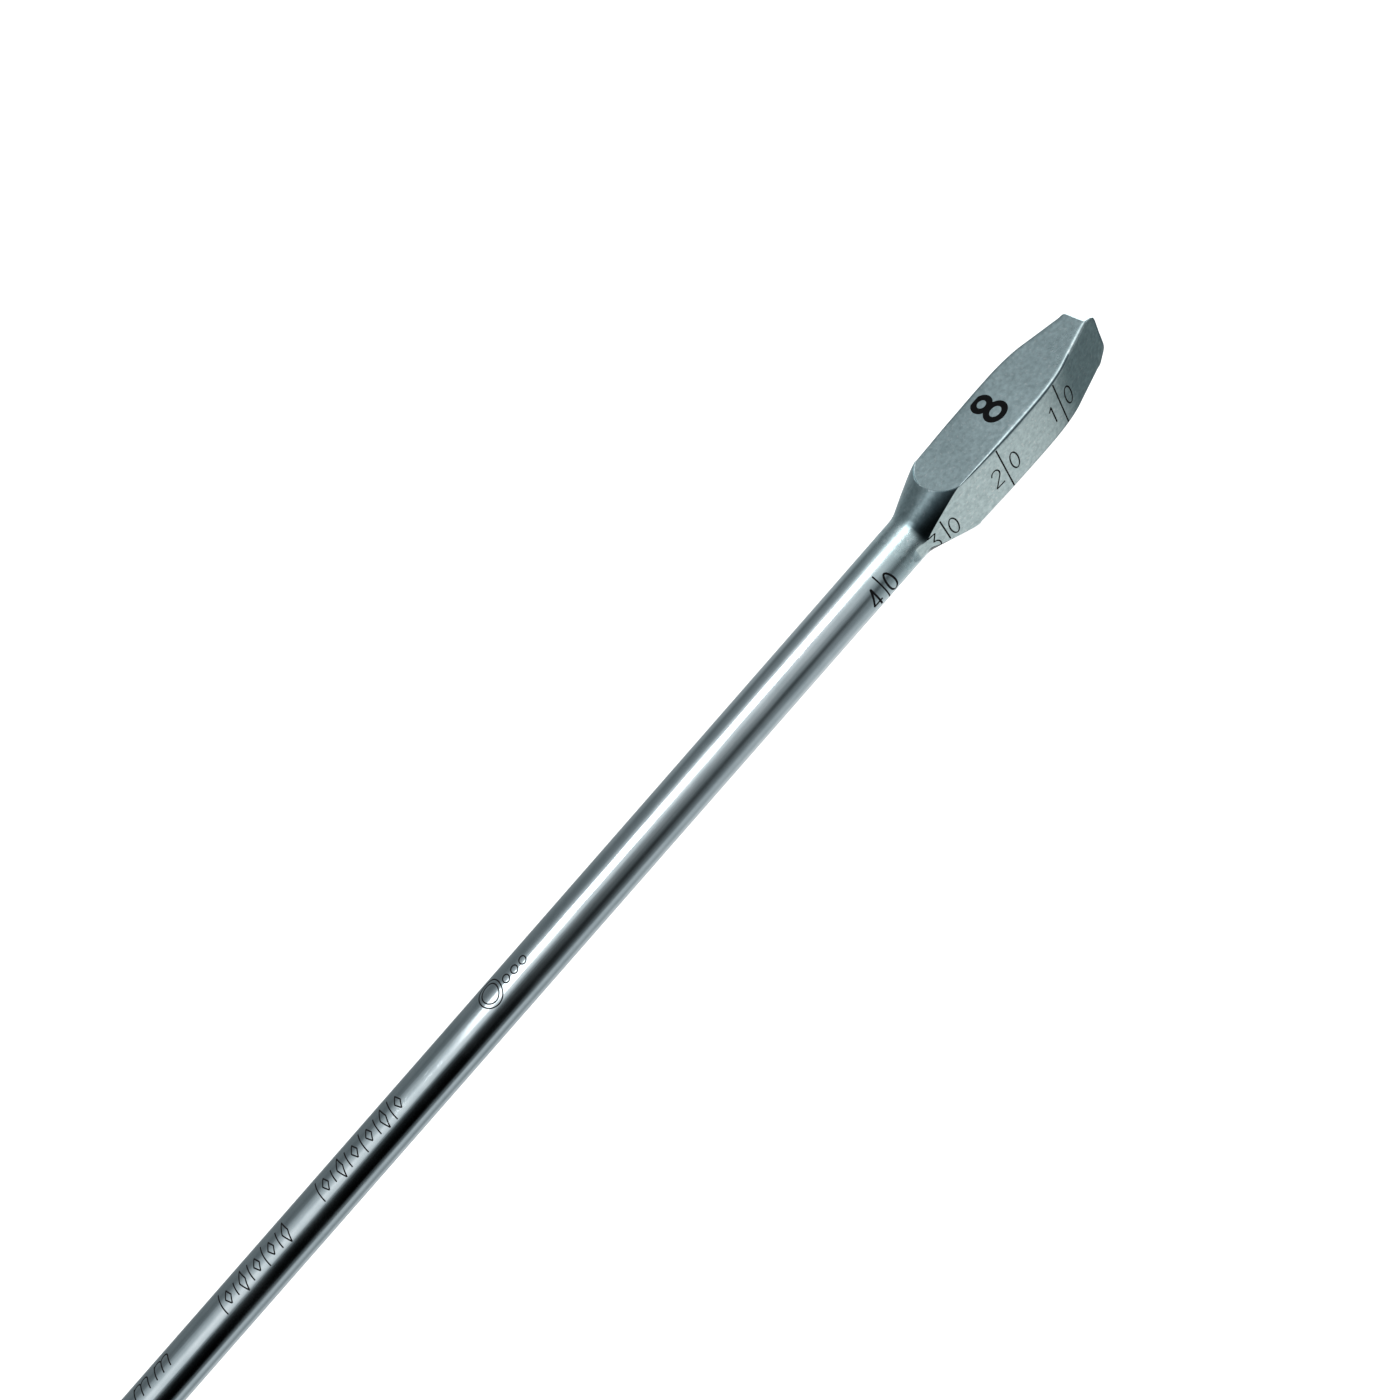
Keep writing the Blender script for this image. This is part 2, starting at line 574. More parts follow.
worked_area(blasted_steel, "neck_root", NECK_ROOT_TINT, NECK_POLISH)
worked_area(blasted_steel, "edge_root", EDGE_ROOT_TINT, FLANK_POLISH)
worked_area(blasted_steel, "flank", FLANK_TINT, FLANK_POLISH)
worked_area(blasted_steel, "eased_edge", EDGE_TINT, EDGE_POLISH)
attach(head, "tool")
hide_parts("distractor_head")


# Size mark: a black laser-etched 8 on both size faces, read with the nose to the right. The oxide is a thin
# plate that is sunk into the steel and stands a hair above it.
MARK_PROUD = 0.012
MARK_SUNK = 0.03
EIGHT_X = 16.0
EIGHT_Y = -0.575
EIGHT_HEIGHT = 4.9
EIGHT_STROKE = 0.78
UPPER_LOOP = (3.71, 1.38, 1.34)
LOWER_LOOP = (1.445, 1.58, 1.445)


def etched(name, tone):
    """Black oxide left by a marking laser: matt, with a fine cloudy grain."""
    material, tree, surface, place = new_material(name, {"Metallic": 0.0, "Specular IOR Level": 0.07})
    soot = noise(tree, place, 5200.0, 2.0)
    black, grey = [(r * tone, g * tone, b * tone, 1) for r, g, b in ((0.5, 0.55, 0.62), (1.5, 1.7, 1.9))]
    feed(tree, surface, {"Base Color": tint(tree, soot, black, grey),
                         "Roughness": rescale(tree, soot, 0.0, 1.0, 0.55, 0.8)})
    return material


def result_of(item):
    """The mesh that an object comes to with its modifiers or its curve."""
    return bpy.data.meshes.new_from_object(item.evaluated_get(bpy.context.evaluated_depsgraph_get()))


def ellipse(centre, radii, start=0, end=360, count=40):
    """Points on an ellipse between two angles in degrees."""
    turn = np.radians(np.linspace(start, end, count))
    return np.stack([centre[0] + radii[0] * np.cos(turn), centre[1] + radii[1] * np.sin(turn)], 1)


black_etch = etched("black_etch", 0.004)
levels = np.sin(np.linspace(-math.pi / 2, math.pi / 2, 121)) * EIGHT_HEIGHT / 2 + EIGHT_HEIGHT / 2
reach = np.zeros(len(levels))
for middle, wide, tall in (UPPER_LOOP, LOWER_LOOP):
    reach = np.maximum(reach, wide * np.sqrt(np.maximum(0, 1 - ((levels - middle) / tall) ** 2)))
outer_line = np.vstack([np.stack([reach, levels], 1), np.stack([-reach, levels], 1)[-2:0:-1]])
eight_lines = [outer_line]
for middle, wide, tall in (UPPER_LOOP, LOWER_LOOP):
    eight_lines.append(ellipse((0, middle), (wide - EIGHT_STROKE, tall - EIGHT_STROKE), count=49)[:-1])
eight_curve = bpy.data.curves.new("eight", "CURVE")
eight_curve.dimensions = "2D"
eight_curve.fill_mode = "BOTH"
eight_curve.extrude = (MARK_PROUD + MARK_SUNK) / 2
for line in eight_lines:
    spline = eight_curve.splines.new("POLY")
    spline.points.add(len(line) - 1)
    spline.use_cyclic_u = True
    for point, (u, v) in zip(spline.points, line):
        point.co = (u, v, 0, 1)
eight_flat = put("eight", eight_curve)
flat_mesh = result_of(eight_flat)
flat_points = np.array([v.co for v in flat_mesh.vertices])
flat_faces = [tuple(face.vertices) for face in flat_mesh.polygons]
bpy.data.objects.remove(eight_flat)
for name, side in (("size_mark_upper", 1), ("size_mark_lower", -1)):
    lift = side * (HEAD_HALF + (MARK_PROUD - MARK_SUNK) / 2 + flat_points[:, 2])
    placed = np.stack([EIGHT_X - flat_points[:, 0], side * (EIGHT_Y + EIGHT_HEIGHT / 2 - flat_points[:, 1]),
                       lift], 1)
    mark_shell = bmesh.new()
    for point in placed:
        mark_shell.verts.new(point)
    mark_shell.verts.ensure_lookup_table()
    for face in flat_faces:
        mark_shell.faces.new([mark_shell.verts[i] for i in face])
    bmesh.ops.remove_doubles(mark_shell, verts=mark_shell.verts, dist=1e-4)
    mark_shell.verts.index_update()
    mark = make_piece(name, [tuple(v.co) for v in mark_shell.verts],
                      [tuple(v.index for v in face.verts) for face in mark_shell.faces], black_etch)
    mark_shell.free()
    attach(mark, "tool")


# Depth scale: fine laser lines at 10, 20, 30 and 40 mm from the nose, each between the two figures of its
# number. It is etched straight on to the side face and on to the first stretch of the shaft.
FIGURE_HEIGHT = 2.85
FIGURE_STROKE = 0.19
LINE_STROKE = 0.2
FIGURE_OFFSET = 1.52
SCALE_LEVEL = -0.25
SHAFT_SCALE_LEVEL = 0.5
FIGURES = {
    "0": [ellipse((0.2, 0.5), (0.2, 0.5))],
    "1": [np.array([(0.06, 0.8), (0.22, 1.0), (0.22, 0.0)])],
    "2": [np.vstack([ellipse((0.23, 0.73), (0.21, 0.27), 165, -35), [(0.0, 0.0), (0.47, 0.0)]])],
    "3": [np.vstack([[(0.02, 1.0), (0.42, 1.0), (0.19, 0.6)], ellipse((0.19, 0.3), (0.25, 0.3), 85, -150)])],
    "4": [np.array([(0.36, 0.0), (0.36, 1.0), (0.0, 0.3), (0.5, 0.3)])],
    "8": [ellipse((0.22, 0.76), (0.18, 0.24)), ellipse((0.22, 0.27), (0.22, 0.27))],
    "m": [np.array([(0.0, 0.0), (0.0, 0.62)]),
          np.vstack([ellipse((0.16, 0.44), (0.16, 0.18), 180, 0), [(0.32, 0.0)]]),
          np.vstack([ellipse((0.48, 0.44), (0.16, 0.18), 180, 0), [(0.64, 0.0)]])]}
head_in_mm = BVHTree.FromPolygons([tuple(v.co / MM) for v in head.data.vertices],
                                  [tuple(face.vertices) for face in head.data.polygons])


def on_flank(x, z):
    """The point and the outward direction of the scale side at x, z."""
    if x < HEAD_END:
        place, normal, _, _ = head_in_mm.ray_cast(Vector((x, 3 * BAR_RADIUS, z)), Vector((0, -1, 0)))
        if place is not None:
            return place, normal
    y = math.sqrt(max(SHAFT_RADIUS ** 2 - z * z, 0.01))
    return Vector((x, y, z)), Vector((0, y, z)).normalized()


def stroke_shell(path, width, on_surface):
    """A flat band of ink along a path, laid on a surface. Returns its points and faces."""
    path = np.array(path, float)
    length = np.concatenate([[0], np.cumsum(np.linalg.norm(np.diff(path, axis=0), axis=1))])
    count = max(2, int(length[-1] / 0.11) + 1)
    spots = np.unique(np.concatenate([np.linspace(0, length[-1], count), length]))
    even = np.stack([np.interp(spots, length, path[:, i]) for i in range(2)], 1)
    found = [on_surface(u, v) for u, v in even]
    points = []
    for i, (place, normal) in enumerate(found):
        before, after = found[max(i - 1, 0)][0], found[min(i + 1, len(found) - 1)][0]
        side = normal.cross(after - before).normalized() * width / 2
        low, high = normal * -MARK_SUNK, normal * MARK_PROUD
        points += [place - side + low, place + side + low, place + side + high, place - side + high]
    faces = [(0, 1, 2, 3)]
    for i in range(len(found) - 1):
        for a, b in ((0, 1), (1, 2), (2, 3), (3, 0)):
            faces.append((4 * i + a, 4 * i + 4 + a, 4 * i + 4 + b, 4 * i + b))
    last = 4 * len(found) - 4
    faces.append((last + 3, last + 2, last + 1, last))
    return points, faces


def etch(name, strokes, on_surface, material):
    """Makes one piece of several strokes, each a path with its width."""
    points = []
    faces = []
    for path, width in strokes:
        new_points, new_faces = stroke_shell(path, width, on_surface)
        faces += [tuple(len(points) + i for i in face) for face in new_faces]
        points += [tuple(p) for p in new_points]
    piece = make_piece(name, points, faces, material)
    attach(piece, "tool")
    return piece


def figure_strokes(figure, x, level, height=FIGURE_HEIGHT, width=0.4):
    """Strokes of a figure centred at x, read towards the nose, with its top towards +Z."""
    return [np.stack([x - (path[:, 0] - width / 2) * height, level + (path[:, 1] - 0.5) * height], 1)
            for path in FIGURES[figure]]


scale_strokes = []
for tens, reach, shift, level in ((1, (3.62, -3.72), 0, SCALE_LEVEL), (2, (3.62, -3.72), 0, SCALE_LEVEL),
                                  (3, (1.86, -2.0), 0.35, SCALE_LEVEL - 0.35)):
    scale_strokes.append((np.array([(10.0 * tens, reach[0]), (10.0 * tens, reach[1])]), LINE_STROKE))
    for figure, offset in ((str(tens), FIGURE_OFFSET), ("0", -FIGURE_OFFSET)):
        for path in figure_strokes(figure, 10.0 * tens + offset + shift, level):
            scale_strokes.append((path, FIGURE_STROKE))
etch("depth_scale_on_head", scale_strokes, on_flank, black_etch)
shaft_strokes = [(np.array([(40.0, 2.5), (40.0, -1.5)]), LINE_STROKE)]
for figure, offset in (("4", 1.75), ("0", -1.15)):
    for path in figure_strokes(figure, 40.0 + offset, SHAFT_SCALE_LEVEL):
        shaft_strokes.append((path, FIGURE_STROKE * 1.4))
etch("depth_scale_on_shaft", shaft_strokes, on_flank, black_etch)


# Shaft: a 6 mm drawn rod of stainless steel, lapped lengthwise and bored at its front for the spigot of the
# head. The rod is dressed dull for a short way past the weld.
SHAFT_END = 209.5
SPIGOT_FIT = 0.15


def rounded_outline(outline, closed, steps=4):
    """Replaces each corner that has a third value, its rounding, with an arc."""
    points = []
    count = len(outline)
    for i, corner in enumerate(outline):
        here = np.array(corner[:2], float)
        ends = not closed and i in (0, count - 1)
        if len(corner) < 3 or ends:
            points.append(here)
            continue
        before = np.array(outline[i - 1][:2], float) - here
        after = np.array(outline[(i + 1) % count][:2], float) - here
        u, v = before / np.linalg.norm(before), after / np.linalg.norm(after)
        half = math.acos(np.clip(u @ v, -1, 1)) / 2
        reach = min(corner[2] / math.tan(half), 0.48 * np.linalg.norm(before), 0.48 * np.linalg.norm(after))
        middle = (u + v) / np.linalg.norm(u + v) * reach / math.cos(half)
        start, end = u * reach - middle, v * reach - middle
        sweep = math.pi - 2 * half
        for step in range(steps + 1):
            t = step / steps
            part = (math.sin((1 - t) * sweep) * start + math.sin(t * sweep) * end) / math.sin(sweep)
            points.append(here + middle + part)
    return np.array(points)


def lathe(name, outline, material, axis="x", centre=(0, 0, 0), spokes=96, crease=32, shape=None, steps=4):
    """Turns an outline of (along, radius) or (along, radius, rounding) points about an axis.

    An outline that starts and ends on the axis gives a solid, any other one is closed into a ring.
    The shape function, if there is one, gives the radius at each place along and each angle.
    """
    solid = outline[0][1] == 0 and outline[-1][1] == 0
    points = rounded_outline(outline, closed=not solid, steps=steps)
    if solid:
        points = points[1:-1]
    turn = np.arange(spokes) * 2 * math.pi / spokes
    along = np.repeat(points[:, :1], spokes, 1)
    radius = np.repeat(points[:, 1:], spokes, 1)
    if shape:
        radius = shape(along, radius, turn[None])
    across, up = radius * np.cos(turn), radius * np.sin(turn)
    order = {"x": (along, across, up), "y": (up, along, across), "z": (across, up, along)}[axis]
    hoops = np.stack(order, 2) + np.array(centre, float)
    if solid:
        points, faces = hoops_to_shell(hoops)
    else:
        points = [tuple(p) for p in hoops.reshape(-1, 3)]
        faces = []
        for row in range(len(hoops)):
            for spoke in range(spokes):
                a, b = row * spokes + spoke, row * spokes + (spoke + 1) % spokes
                c, d = (b + spokes) % len(points), (a + spokes) % len(points)
                faces.append((a, b, c, d))
    return make_piece(name, points, faces, material, crease)


def settle(piece, body, slot, *nodes):
    """Fixes a piece to a body and names its finish and the plain solids that it stands for."""
    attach(piece, body)
    if nodes:
        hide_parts(*nodes)
    return piece


shaft_steel = steel("lapped_shaft_steel", (0.60, 0.675, 0.71), (0.52, 0.6, 0.635), 0.11, 0.2,
                    (0.18, 5, 5), 3.5, clouds=0.35, speck=4.0, speck_gain=0.1, scratches=0.12,
                    scratch_depth=0.25)
DRESSED_END = 46.0
DRESSED_TINT = (0.89, 0.97, 0.96)
DRESSED_POLISH = 0.28
stations = np.linspace(HEAD_END, SHAFT_END, 70)[1:-1]
shaft = lathe("shaft_rod", [
    (SPIGOT_END + 0.3, 0), (SPIGOT_END + 0.3, SPIGOT_RADIUS + SPIGOT_FIT),
    (HEAD_END, SPIGOT_RADIUS + SPIGOT_FIT), (HEAD_END, SHAFT_RADIUS), *[(x, SHAFT_RADIUS) for x in stations],
    (SHAFT_END, SHAFT_RADIUS, 0.3), (SHAFT_END, 0)], shaft_steel, spokes=128)
spots = spots_of(shaft)
mark_area(shaft, "dressed_weld", (DRESSED_END - spots[:, 0]) / (DRESSED_END - HEAD_END))
worked_area(shaft_steel, "dressed_weld", DRESSED_TINT, DRESSED_POLISH)
settle(shaft, "tool", "shaft_steel", "shaft")


# Shaft marks: neutral grey signs, etched along the rod: rings, two rows of bars and lozenges, and the size
# with its unit. They name no maker and no model.
RING_SIGN = (107.6, 88, (1.75, 1.25))
SMALL_RINGS = ((104.9, 103.4, 101.9), 82, 0.5)
BAR_ROWS = ((140.2, 16.0, 83, 12), (158.4, 13.2, 80, 10))
BARS = (1.0, 0.62, 0.62, 1.0, 0.8, 0.62, 1.0, 0.62, 0.8, 1.0)
BAR_HALF_HEIGHT = 1.45
LOZENGE_HALF = 0.5
UNIT = (("8", 177.6), ("m", 173.6), ("m", 169.8))
UNIT_HEIGHT = 3.0
UNIT_WIDTH = 3.9
UNIT_TURN = 76
SIGN_STROKE = 0.17


def on_shaft(x, arc):
    """The point and the outward direction on the rod. Arc is the distance round it from the +Y side."""
    turn = arc / SHAFT_RADIUS
    outward = Vector((0, math.cos(turn), math.sin(turn)))
    return Vector((x, 0, 0)) + outward * SHAFT_RADIUS, outward


def round_place(degrees):
    """The distance round the rod from its +Y side."""
    return math.radians(degrees) * SHAFT_RADIUS


grey_etch = etched("grey_etch", 0.008)
signs = [(ellipse((RING_SIGN[0], round_place(RING_SIGN[1])), (r, r)), SIGN_STROKE) for r in RING_SIGN[2]]
for x in SMALL_RINGS[0]:
    signs.append((ellipse((x, round_place(SMALL_RINGS[1])), (SMALL_RINGS[2], SMALL_RINGS[2])), SIGN_STROKE))
for start, length, degrees, count in BAR_ROWS:
    for i in range(count):
        x = start - length * (i + 0.5) / count
        middle = round_place(degrees)
        half = BAR_HALF_HEIGHT * BARS[i % len(BARS)]
        low, high = middle - half, middle + half
        sign = [(x, low), (x, high)]
        if i % 2:
            sign = [(x, low), (x - LOZENGE_HALF, middle), (x, high), (x + LOZENGE_HALF, middle), (x, low)]
        signs.append((np.array(sign), SIGN_STROKE))
for figure, x in UNIT:
    for path in FIGURES[figure]:
        arc = round_place(UNIT_TURN) + path[:, 1] * UNIT_HEIGHT
        signs.append((np.stack([x - path[:, 0] * UNIT_WIDTH, arc], 1), SIGN_STROKE))
etch("shaft_signs", signs, on_shaft, grey_etch)


# Drive shank: a hardened plug laser-welded over the end of the rod. Its groove takes the lock balls and its
# square end takes the turning load. The weld is a ring of small overlapping scales with a faint heat tint.
SHANK_START = 198.0
SHANK_COLLAR = (202.0, 210.0, 4.75)
SHANK_BORE = 3.1
PILOT_RADIUS = 3.95
PILOT_END = 226.0
DRIVE_END = 238.0
DRIVE_HALF = 6.35 / 2
DRIVE_CHAMFER = 0.8
BALL_X = 218.0
BALL_RADIUS = 1.5
BALL_CENTRE = 4.7
GROOVE_RADIUS = 1.65
WELD_SCALES = 46


def squared(half, start, end=np.inf, most=np.inf):
    """A lathe shape with four flats this far out, between two places along the axis and below a radius."""
    def radius_at(along, radius, turn):
        limit = half / np.maximum(np.abs(np.cos(turn)), np.abs(np.sin(turn)))
        inside = (along > start) & (along <= end) & (radius < most)
        return np.where(inside, np.minimum(radius, limit), radius)
    return radius_at


polished_steel = steel("polished_hard_steel", (0.64, 0.67, 0.69), (0.55, 0.585, 0.605), 0.10, 0.22,
                       (3, 0.6, 0.6), 1.6, clouds=0.3, speck=5.0, speck_gain=0.1, scratches=0.16)
rise = BALL_CENTRE + 0.05 - PILOT_RADIUS
half_groove = math.acos(rise / GROOVE_RADIUS)
groove = [(BALL_X + GROOVE_RADIUS * math.sin(a), PILOT_RADIUS + rise - GROOVE_RADIUS * math.cos(a))
          for a in np.linspace(-half_groove, half_groove, 15)]
shank = lathe("drive_shank_plug", [
    (SHANK_COLLAR[1] - 0.2, 0), (SHANK_COLLAR[1] - 0.2, SHANK_BORE), (SHANK_START, SHANK_BORE),
    (SHANK_START, SHANK_BORE + 0.3, 0.12), (SHANK_COLLAR[0], SHANK_COLLAR[2], 1.2),
    (SHANK_COLLAR[1], SHANK_COLLAR[2], 0.35), (SHANK_COLLAR[1], PILOT_RADIUS), *groove,
    (PILOT_END, PILOT_RADIUS), (PILOT_END + 0.02, PILOT_RADIUS), (DRIVE_END - DRIVE_CHAMFER, PILOT_RADIUS),
    (DRIVE_END, PILOT_RADIUS - DRIVE_CHAMFER), (DRIVE_END, 0)], polished_steel,
    shape=squared(DRIVE_HALF, PILOT_END))
settle(shank, "tool", "hardened_steel", "drive_shank")


def new_tree(name, *inputs):
    """A geometry tree with named inputs, each a title, a socket kind and a value."""
    tree = bpy.data.node_groups.new(name, "GeometryNodeTree")
    for title, kind, value in inputs:
        socket = tree.interface.new_socket(title, in_out="INPUT", socket_type=kind)
        if value is not None:
            socket.default_value = value
    tree.interface.new_socket("Geometry", in_out="OUTPUT", socket_type="NodeSocketGeometry")
    return tree, add_node(tree, "NodeGroupInput").outputs


def grow(name, tree, values, body, slot, *nodes):
    """Runs a geometry tree on an empty mesh and keeps its result as a plain piece."""
    seed = put(name + "_seed", bpy.data.meshes.new(name + "_seed"))
    modifier = seed.modifiers.new("grow", "NODES")
    modifier.node_group = tree
    for item in tree.interface.items_tree:
        if item.in_out == "INPUT" and item.name in values:
            modifier[item.identifier] = values[item.name]
    seed.update_tag()
    mesh = result_of(seed)
    seed.modifiers.remove(modifier)
    bpy.data.objects.remove(seed)
    mesh.name = name
    piece = put(name, mesh)
    mesh.shade_smooth()
    mesh.set_sharp_from_angle(angle=math.radians(40))
    return settle(piece, body, slot, *nodes)


def finish_tree(tree, geometry, material):
    """Ends a geometry tree with real, painted geometry."""
    real = add_node(tree, "GeometryNodeRealizeInstances", {0: geometry})
    painted = add_node(tree, "GeometryNodeSetMaterial", {"Geometry": real.outputs[0], "Material": material})
    add_node(tree, "NodeGroupOutput", {0: painted.outputs[0]})


weld_steel = steel("weld_steel", (0.60, 0.56, 0.47), (0.42, 0.44, 0.50), 0.18, 0.34, (6, 6, 6), 3,
                   clouds=1.4, scratches=0.0)
tree, given = new_tree("weld_ring", ("Scales", "NodeSocketInt", WELD_SCALES),
                       ("Place", "NodeSocketFloat", 0.0), ("Ring Radius", "NodeSocketFloat", 0.003))
ring_points = add_node(tree, "GeometryNodeMeshCircle",
                       {"Vertices": given["Scales"], "Radius": given["Ring Radius"]})
scale_ball = add_node(tree, "GeometryNodeMeshUVSphere", {"Segments": 12, "Rings": 8, "Radius": 0.00034})
flat_ball = add_node(tree, "GeometryNodeTransform",
                     {"Geometry": scale_ball.outputs[0], "Scale": (0.75, 0.62, 1.15)})
number = add_node(tree, "GeometryNodeInputIndex").outputs[0]
turn = maths(tree, "MULTIPLY", number, maths(tree, "DIVIDE", 2 * math.pi, given["Scales"]))
facing = add_node(tree, "ShaderNodeCombineXYZ", {"Z": turn})
bead = add_node(tree, "GeometryNodeInstanceOnPoints", {
    "Points": ring_points.outputs[0], "Instance": flat_ball.outputs[0], "Rotation": facing.outputs[0]})
place = add_node(tree, "ShaderNodeCombineXYZ", {"X": given["Place"]})
stood = add_node(tree, "GeometryNodeTransform", {
    "Geometry": bead.outputs[0], "Rotation": (0, math.pi / 2, 0), "Translation": place.outputs[0]})
finish_tree(tree, stood.outputs[0], weld_steel)
grow("shank_weld", tree, {"Place": (SHANK_START + 0.05) * MM, "Ring Radius": (SHAFT_RADIUS + 0.12) * MM},
     "tool", "shaft_steel")


# Coupling body: turned stainless socket of the handle. It has a square hole for the drive, two holes for the
# lock balls, a groove for the stop ring, and a stem that is pinned into the hub.
MOUTH_X = 210.8
SOCKET_RADIUS = 4.15
SOCKET_BORE_END = 226.4
SOCKET_HALF = 6.65 / 2
SOCKET_END = 239.0
BARREL_RADIUS = 6.0
RING_GROOVE = (211.5, 212.5, 5.4)
GUIDE = (236.0, 8.6)
FLANGE = (242.5, 246.0, 11.5)
STEM = (256.0, 5.0)
BALL_HOLE = 1.6
PIN_HOLE = 1.65
BODY_PIN_X = 251.5


def drill(piece, holes):
    """Cuts round holes through a piece. Each is a radius, a start and an end."""
    for number, (radius, start, end) in enumerate(holes):
        start, end = Vector(start), Vector(end)
        along = (end - start).normalized()
        side = along.orthogonal().normalized()
        other = along.cross(side)
        turns = [2 * math.pi * i / 40 for i in range(40)]
        hoops = np.array([[tuple(base + (side * math.cos(a) + other * math.sin(a)) * radius) for a in turns]
                          for base in (start, end)])
        points, faces = hoops_to_shell(hoops)
        bit = make_piece("drill_bit", points, faces, piece.data.materials[0])
        cut = piece.modifiers.new("drill", "BOOLEAN")
        cut.operation = "DIFFERENCE"
        cut.solver = "EXACT"
        cut.object = bit
        cut_mesh = result_of(piece)
        piece.modifiers.remove(cut)
        piece.data = cut_mesh
        bpy.data.objects.remove(bit)
    piece.data.shade_smooth()
    piece.data.set_sharp_from_angle(angle=math.radians(32))


turned_steel = steel("turned_handle_steel", (0.66, 0.685, 0.70), (0.57, 0.60, 0.615), 0.2, 0.32,
                     (9, 0.5, 0.5), 3.0, clouds=0.25, speck=4.0, speck_gain=0.1, scratches=0.12)
coupling = lathe("coupling_socket", [
    (SOCKET_END, 0), (SOCKET_END, SOCKET_HALF * 1.42), (SOCKET_BORE_END + 0.02, SOCKET_HALF * 1.42),
    (SOCKET_BORE_END, SOCKET_RADIUS), (MOUTH_X, SOCKET_RADIUS, 0.4), (MOUTH_X, BARREL_RADIUS, 0.5),
    (RING_GROOVE[0], BARREL_RADIUS, 0.1), (RING_GROOVE[0], RING_GROOVE[2]), (RING_GROOVE[1], RING_GROOVE[2]),
    (RING_GROOVE[1], BARREL_RADIUS, 0.1), (GUIDE[0], BARREL_RADIUS), (GUIDE[0], GUIDE[1], 0.3),
    (FLANGE[0], GUIDE[1]), (FLANGE[0], FLANGE[2], 0.6), (FLANGE[1], FLANGE[2], 0.5), (FLANGE[1], STEM[1]),
    (STEM[0], STEM[1], 0.4), (STEM[0], 0)], turned_steel,
    shape=squared(SOCKET_HALF, SOCKET_BORE_END, SOCKET_END, SOCKET_HALF * 1.43))
drill(coupling, [(BALL_HOLE, (BALL_X, 0, -GUIDE[1]), (BALL_X, 0, GUIDE[1])),
                 (PIN_HOLE, (BODY_PIN_X, 0, -FLANGE[2]), (BODY_PIN_X, 0, FLANGE[2]))])
settle(coupling, "tool", "handle_steel", "coupling_body")


# Stop ring: an open ring of flat spring wire, snapped into the groove at the mouth to keep the collar on.
# Its gap is what pliers open it by.
STOP_RING = (211.6, 212.4, 5.5, 7.7)
STOP_RING_GAP = 3.0
EDGE_EASE = 0.12

spring_steel = steel("drawn_spring_steel", (0.52, 0.545, 0.56), (0.42, 0.445, 0.46), 0.2, 0.34, (5, 5, 5),
                     2.0, clouds=0.5, scratches=0.05)
corner_line = rounded_outline([(STOP_RING[a], STOP_RING[b], EDGE_EASE)
                               for a, b in ((0, 2), (0, 3), (1, 3), (1, 2))], True, 3)
open_half = math.asin(STOP_RING_GAP / 2 / STOP_RING[3])
sweep = np.linspace(math.pi / 2 + open_half, 2.5 * math.pi - open_half, 90)
hoops = np.array([[(x, r * math.cos(a), r * math.sin(a)) for x, r in corner_line] for a in sweep])
ring_points, ring_faces = hoops_to_shell(hoops)
stop_ring = make_piece("stop_ring", ring_points, ring_faces, spring_steel)
settle(stop_ring, "tool", "spring_steel", "collar_stop_ring")


# Release collar: a turned sleeve with a rim for the fingers, pulled back against its spring. Its bore is a
# shallow cone over the lock balls. Milled ribs round its waist give grip with wet gloves.
COLLAR_START = 212.7
COLLAR_END = 237.0
COLLAR_RADIUS = 9.8
RIM = (232.5, 11.0)
LAND_RADIUS = 6.35
LAND_END = 221.5
SKIRT_RADIUS = 8.9
RAMP_SLOPE = 0.18
GRIP_RIBS = 40
RIB_RANGE = (216.2, 228.6)
RIB_RADIUS = 0.42

ramp_mouth = LAND_RADIUS + RAMP_SLOPE * (BALL_X - COLLAR_START)
waist = COLLAR_RADIUS - 0.35
collar = lathe("collar_sleeve", [
    (COLLAR_START, ramp_mouth, 0.2), (COLLAR_START, COLLAR_RADIUS - 1.2, 0.3),
    (COLLAR_START + 1.2, COLLAR_RADIUS, 0.4), (RIB_RANGE[0] - 1.1, COLLAR_RADIUS, 0.15),
    (RIB_RANGE[0] - 0.7, waist), (RIB_RANGE[1] + 0.7, waist), (RIB_RANGE[1] + 1.1, COLLAR_RADIUS, 0.15),
    (RIM[0] - 1.2, COLLAR_RADIUS, 1.2), (RIM[0], RIM[1], 0.6), (COLLAR_END - 0.5, RIM[1], 0.5),
    (COLLAR_END, RIM[1] - 0.6, 0.2), (COLLAR_END, SKIRT_RADIUS, 0.15), (LAND_END, SKIRT_RADIUS),
    (LAND_END, LAND_RADIUS, 0.1), (BALL_X, LAND_RADIUS)], turned_steel, spokes=160)
settle(collar, "collar", "handle_steel", "release_collar")
tree, given = new_tree("milled_ribs", ("Ribs", "NodeSocketInt", GRIP_RIBS),
                       ("Start", "NodeSocketFloat", 0.2), ("Length", "NodeSocketFloat", 0.01),
                       ("Barrel Radius", "NodeSocketFloat", 0.01), ("Rib Radius", "NodeSocketFloat", 0.0004))
far_end = add_node(tree, "ShaderNodeCombineXYZ", {"X": given["Length"]})
rib_line = add_node(tree, "GeometryNodeCurvePrimitiveLine", {"Start": (0, 0, 0), "End": far_end.outputs[0]})
rib_steps = add_node(tree, "GeometryNodeResampleCurve", {"Curve": rib_line.outputs[0], "Count": 13})
along = add_node(tree, "GeometryNodeSplineParameter").outputs["Factor"]
away = maths(tree, "MULTIPLY", maths(tree, "SUBTRACT", along, 0.5), 2.0)
thick = maths(tree, "MAXIMUM", maths(tree, "SUBTRACT", 1.0, maths(tree, "POWER", away, 12.0)), 0.25)
